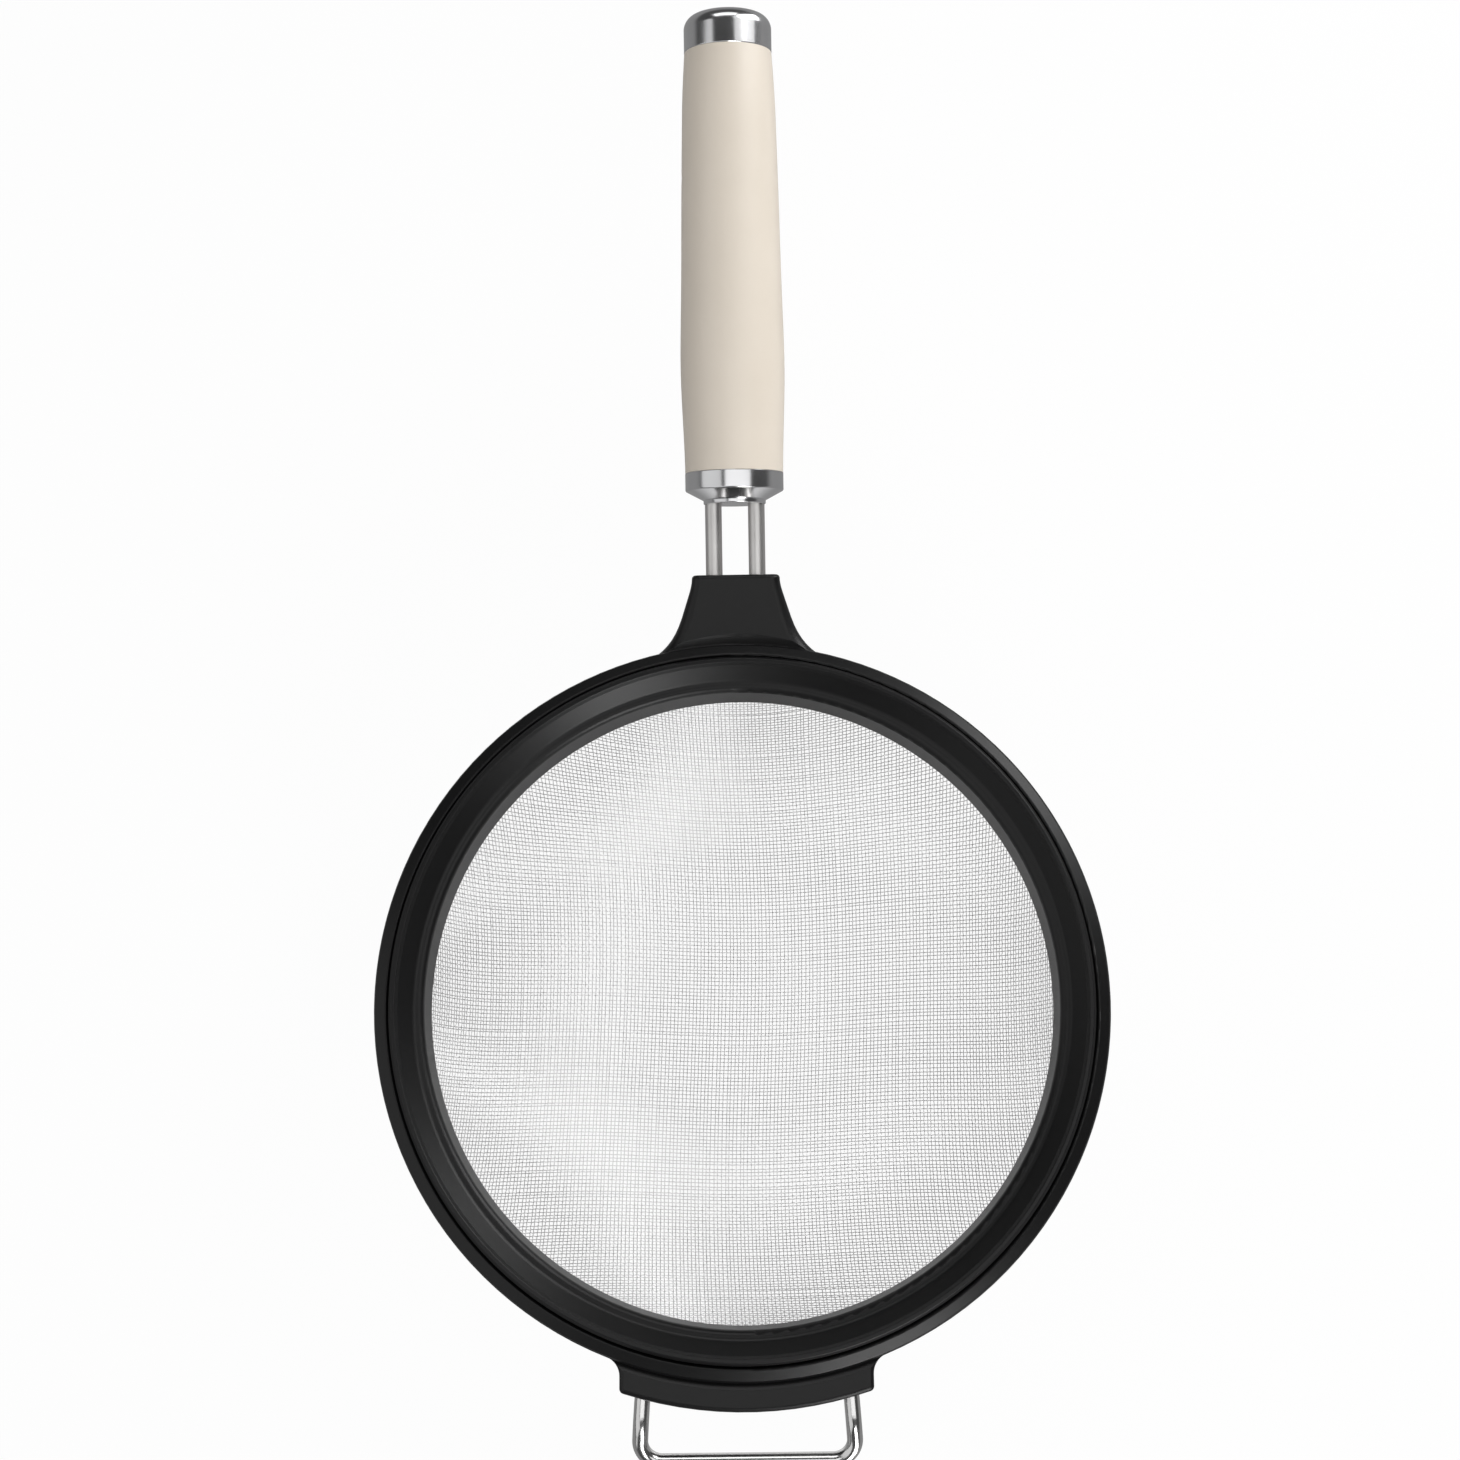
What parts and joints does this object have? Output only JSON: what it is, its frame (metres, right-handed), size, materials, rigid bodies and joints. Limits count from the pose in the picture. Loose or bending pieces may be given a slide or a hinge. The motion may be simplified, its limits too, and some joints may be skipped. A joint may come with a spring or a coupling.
{
  "type": "chinois strainer",
  "caption": "Round fine-mesh hand strainer with a wide black rim, a cream grip on steel rods and a front wire rest loop.",
  "frame": {"origin": "centre of the bowl's flat base, on its underside", "axes": "+Z along the bowl's axis towards its mouth, +Y along the handle, +X to the right seen from above"},
  "size_m": [0.191, 0.3775, 0.1102],
  "materials": {
    "mesh": "plain-woven stainless wire",
    "black_plastic": "satin black moulding",
    "bright_steel": "polished stainless steel",
    "rod_steel": "drawn stainless bar, lightly polished",
    "cream_plastic": "satin cream moulding",
    "hidden_steel": "plain steel",
    "core_plastic": "grey moulding",
    "seal_rubber": "silicone",
    "brass": "turned brass"
  },
  "bodies": {
    "root": {"mesh_bowl": "mesh", "mesh_hem": "hidden_steel", "hoop_wire": "hidden_steel", "clamp_ring": "black_plastic", "rim_frame": "black_plastic", "rest_loop": "bright_steel", "rod_left": "rod_steel", "rod_right": "rod_steel", "ferrule": "bright_steel", "rod_seals": "seal_rubber", "grip_seal": "seal_rubber", "grip": "cream_plastic", "handle_core": "core_plastic", "cross_pins": "hidden_steel", "threaded_insert": "brass", "tie_screw": "hidden_steel", "tie_washer": "hidden_steel", "cap_plug": "core_plastic", "cap_seal": "seal_rubber", "end_cap": "bright_steel"}
  },
  "joints": []
}
